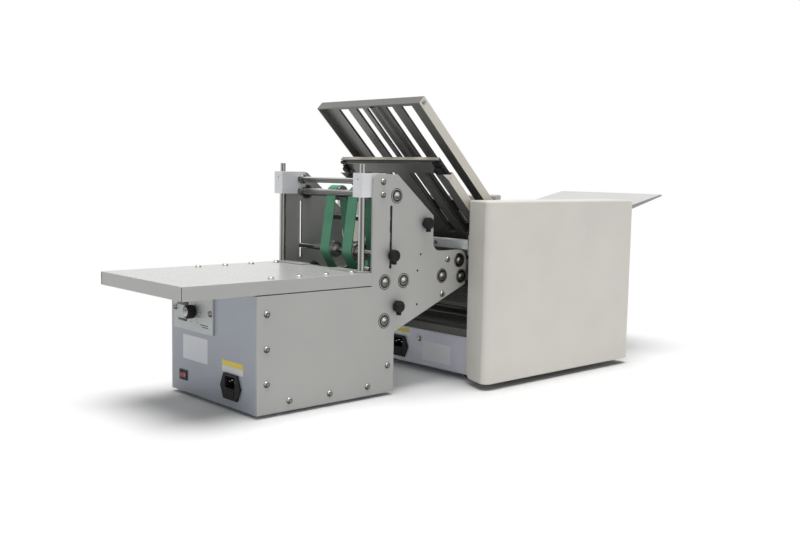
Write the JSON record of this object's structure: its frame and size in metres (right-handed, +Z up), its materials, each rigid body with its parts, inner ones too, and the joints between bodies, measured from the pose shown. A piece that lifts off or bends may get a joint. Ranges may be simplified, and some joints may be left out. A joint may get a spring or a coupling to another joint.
{
  "type": "paper folding machine with delivery stacker",
  "caption": "Desktop buckle folder with sloping fold plates and feed table, fed into a separate upright belt stacker with a flat collecting table.",
  "frame": {"origin": "centre of the whole machine's footprint, on the desk", "axes": "+X from the stacker's table towards the feed table, along the paper path; +Y across the machine, away from the side with the knobs; +Z up"},
  "size_m": [1.0448, 0.374, 0.4449],
  "materials": {
    "plate_paint": "satin warm grey",
    "panel_paint": "satin bluish grey",
    "table_paint": "smooth light grey",
    "cover_paint": "satin off-white",
    "base_paint": "satin lilac grey",
    "feed_paint": "smooth pale grey",
    "fold_steel": "brushed stainless sheet",
    "frame_steel": "plated sheet steel",
    "shaft_steel": "ground steel",
    "screw_nickel": "nickel plated",
    "block_aluminium": "milled",
    "motor_metal": "dark anodised housing",
    "belt_green": "matt coated fabric belt",
    "roller_rubber": "matt",
    "feed_rubber": "matt",
    "foot_rubber": "matt",
    "black_plastic": "fine texture",
    "control_face": "satin plate",
    "switch_red": "gloss"
  },
  "bodies": {
    "folder": {"base_floor": "base_paint", "base_end_panel": "base_paint", "base_feet": "foot_rubber", "side_frame_front": "frame_steel", "side_frame_rear": "frame_steel", "front_cover": "cover_paint", "rear_cover": "cover_paint", "fold_plate_long": "fold_steel", "fold_plate_short": "fold_steel", "lower_fold_plates": "fold_steel", "delivery_bar": "frame_steel", "feed_table": "feed_paint", "feed_separator": "fold_steel", "folder_motor": "motor_metal", "folder_inlet": "black_plastic", "folder_screws": "screw_nickel"},
    "stacker": {"stacker_front_plate": "plate_paint", "stacker_rear_plate": "plate_paint", "stacker_end_panel": "panel_paint", "stacker_pan": "panel_paint", "stacker_table": "table_paint", "stacker_screws": "screw_nickel", "stacker_feet": "foot_rubber", "corner_blocks": "block_aluminium", "guide_posts": "shaft_steel", "cross_rods": "shaft_steel", "stacker_bearings": "shaft_steel", "lift_belts": "belt_green", "transfer_belts": "belt_green", "stacker_motor": "motor_metal", "speed_controller": "control_face", "stacker_inlet": "black_plastic", "switch_bezel": "black_plastic"},
    "top_shaft": {"top_shaft": "shaft_steel"},
    "exit_shaft": {"exit_shaft": "shaft_steel"},
    "lift_shaft": {"lift_shaft": "shaft_steel"},
    "low_shaft": {"low_shaft": "shaft_steel"},
    "transfer_shaft": {"transfer_shaft": "shaft_steel"},
    "infeed_roller_upper": {"infeed_roller_upper": "roller_rubber"},
    "infeed_roller_lower": {"infeed_roller_lower": "roller_rubber"},
    "idler_axle": {"idler_axle": "shaft_steel"},
    "idler_pulleys": {"idler_pulleys": "shaft_steel"},
    "idler_knob": {"idler_knob": "black_plastic"},
    "lower_rod_knob": {"lower_rod_knob": "black_plastic"},
    "upper_rod_knob": {"upper_rod_knob": "black_plastic"},
    "speed_knob": {"speed_knob": "black_plastic"},
    "switch_rocker": {"switch_rocker": "switch_red"},
    "fold_roller_1": {"fold_roller_1": "roller_rubber"},
    "fold_roller_2": {"fold_roller_2": "roller_rubber"},
    "fold_roller_3": {"fold_roller_3": "roller_rubber"},
    "fold_roller_4": {"fold_roller_4": "roller_rubber"},
    "fold_roller_5": {"fold_roller_5": "roller_rubber"},
    "fold_roller_6": {"fold_roller_6": "roller_rubber"},
    "feed_roller": {"feed_roller": "feed_rubber"},
    "stop_long": {"stop_long": "fold_steel"},
    "stop_short": {"stop_short": "fold_steel"},
    "stop_knob_front": {"stop_knob_front": "black_plastic"},
    "stop_knob_rear": {"stop_knob_rear": "black_plastic"},
    "side_guide_front": {"side_guide_front": "frame_steel"},
    "side_guide_rear": {"side_guide_rear": "frame_steel"}
  },
  "joints": [
    {"name": "stacker_pull", "type": "slide", "parent": "folder", "child": "stacker", "axis": [-1, 0, 0], "range_m": [0, 0.25]},
    {"name": "low_shaft_spin", "type": "hinge", "parent": "stacker", "child": "low_shaft", "pos_m": [-0.188, 0, 0.1135], "axis": [0, 1, 0], "continuous": true},
    {"name": "transfer_shaft_spin", "type": "hinge", "parent": "stacker", "child": "transfer_shaft", "pos_m": [-0.0695, 0, 0.1735], "axis": [0, 1, 0], "continuous": true},
    {"name": "infeed_lower_spin", "type": "hinge", "parent": "stacker", "child": "infeed_roller_lower", "pos_m": [-0.027, 0, 0.1705], "axis": [0, 1, 0], "continuous": true},
    {"name": "infeed_upper_spin", "type": "hinge", "parent": "stacker", "child": "infeed_roller_upper", "pos_m": [-0.032, 0, 0.196], "axis": [0, 1, 0], "continuous": true},
    {"name": "exit_shaft_spin", "type": "hinge", "parent": "stacker", "child": "exit_shaft", "pos_m": [-0.188, 0, 0.171], "axis": [0, 1, 0], "continuous": true},
    {"name": "lift_shaft_spin", "type": "hinge", "parent": "stacker", "child": "lift_shaft", "pos_m": [-0.1505, 0, 0.171], "axis": [0, 1, 0], "continuous": true},
    {"name": "top_shaft_spin", "type": "hinge", "parent": "stacker", "child": "top_shaft", "pos_m": [-0.167, 0, 0.2975], "axis": [0, 1, 0], "continuous": true},
    {"name": "idler_height", "type": "slide", "parent": "stacker", "child": "idler_axle", "axis": [0, 0, 1], "range_m": [-0.015, 0.055], "deforming": ["lift_belts"]},
    {"name": "idler_spin", "type": "hinge", "parent": "idler_axle", "child": "idler_pulleys", "pos_m": [-0.1776, 0, 0.21], "axis": [0, 1, 0], "continuous": true},
    {"name": "idler_knob_turn", "type": "hinge", "parent": "idler_axle", "child": "idler_knob", "pos_m": [-0.1776, -0.12, 0.21], "axis": [0, 1, 0], "range_deg": [-180, 0]},
    {"name": "lower_rod_knob_turn", "type": "hinge", "parent": "stacker", "child": "lower_rod_knob", "pos_m": [-0.1665, -0.12, 0.134], "axis": [0, 1, 0], "range_deg": [-180, 0]},
    {"name": "upper_rod_knob_turn", "type": "hinge", "parent": "stacker", "child": "upper_rod_knob", "pos_m": [-0.109, -0.12, 0.256], "axis": [0, 1, 0], "range_deg": [-180, 0]},
    {"name": "speed_knob_turn", "type": "hinge", "parent": "stacker", "child": "speed_knob", "pos_m": [-0.42, 0.043, 0.1283], "axis": [1, 0, 0], "range_deg": [-150, 150]},
    {"name": "switch_rock", "type": "hinge", "parent": "stacker", "child": "switch_rocker", "pos_m": [-0.4095, 0.0773, 0.03], "axis": [0, 0, -1], "range_deg": [0, 16]},
    {"name": "fold_roller_2_spin", "type": "hinge", "parent": "folder", "child": "fold_roller_2", "pos_m": [0.12122, 0, 0.17583], "axis": [0, 1, 0], "continuous": true},
    {"name": "fold_roller_1_spin", "type": "hinge", "parent": "folder", "child": "fold_roller_1", "pos_m": [0.1332, 0, 0.20872], "axis": [0, 1, 0], "continuous": true},
    {"name": "fold_roller_3_spin", "type": "hinge", "parent": "folder", "child": "fold_roller_3", "pos_m": [0.09626, 0, 0.20037], "axis": [0, 1, 0], "continuous": true},
    {"name": "fold_roller_4_spin", "type": "hinge", "parent": "folder", "child": "fold_roller_4", "pos_m": [0.07173, 0, 0.1754], "axis": [0, 1, 0], "continuous": true},
    {"name": "fold_roller_5_spin", "type": "hinge", "parent": "folder", "child": "fold_roller_5", "pos_m": [0.04677, 0, 0.19994], "axis": [0, 1, 0], "continuous": true},
    {"name": "fold_roller_6_spin", "type": "hinge", "parent": "folder", "child": "fold_roller_6", "pos_m": [0.02223, 0, 0.17497], "axis": [0, 1, 0], "continuous": true},
    {"name": "feed_roller_spin", "type": "hinge", "parent": "folder", "child": "feed_roller", "pos_m": [0.23622, 0, 0.26078], "axis": [0, 1, 0], "continuous": true},
    {"name": "stop_long_slide", "type": "slide", "parent": "folder", "child": "stop_long", "axis": [-0.7133, 0, 0.7009], "range_m": [-0.03, 0.21]},
    {"name": "stop_short_slide", "type": "slide", "parent": "folder", "child": "stop_short", "axis": [-0.7133, 0, 0.7009], "range_m": [-0.12, 0]},
    {"name": "stop_knob_front_turn", "type": "hinge", "parent": "stop_short", "child": "stop_knob_front", "pos_m": [-0.081, -0.11, 0.336], "axis": [-0.7009, 0, -0.7133], "range_deg": [-180, 0]},
    {"name": "stop_knob_rear_turn", "type": "hinge", "parent": "stop_short", "child": "stop_knob_rear", "pos_m": [-0.081, 0.11, 0.336], "axis": [-0.7009, 0, -0.7133], "range_deg": [-180, 0]},
    {"name": "side_guide_front_slide", "type": "slide", "parent": "folder", "child": "side_guide_front", "axis": [0, 1, 0], "range_m": [0, 0.03]},
    {"name": "side_guide_rear_slide", "type": "slide", "parent": "folder", "child": "side_guide_rear", "axis": [0, -1, 0], "range_m": [0, 0.03]}
  ],
  "couplings": [
    {"joint": "transfer_shaft_spin", "follows": "low_shaft_spin", "ratio": 1},
    {"joint": "infeed_lower_spin", "follows": "low_shaft_spin", "ratio": 1.1024},
    {"joint": "infeed_upper_spin", "follows": "low_shaft_spin", "ratio": -1.1024},
    {"joint": "exit_shaft_spin", "follows": "low_shaft_spin", "ratio": 1.1667},
    {"joint": "lift_shaft_spin", "follows": "low_shaft_spin", "ratio": -1},
    {"joint": "top_shaft_spin", "follows": "low_shaft_spin", "ratio": -1.2727},
    {"joint": "idler_spin", "follows": "low_shaft_spin", "ratio": -1.0769},
    {"joint": "fold_roller_1_spin", "follows": "fold_roller_2_spin", "ratio": -1},
    {"joint": "fold_roller_3_spin", "follows": "fold_roller_2_spin", "ratio": -1},
    {"joint": "fold_roller_4_spin", "follows": "fold_roller_2_spin", "ratio": 1},
    {"joint": "fold_roller_5_spin", "follows": "fold_roller_2_spin", "ratio": -1},
    {"joint": "fold_roller_6_spin", "follows": "fold_roller_2_spin", "ratio": 1},
    {"joint": "feed_roller_spin", "follows": "fold_roller_2_spin", "ratio": -0.96111}
  ]
}
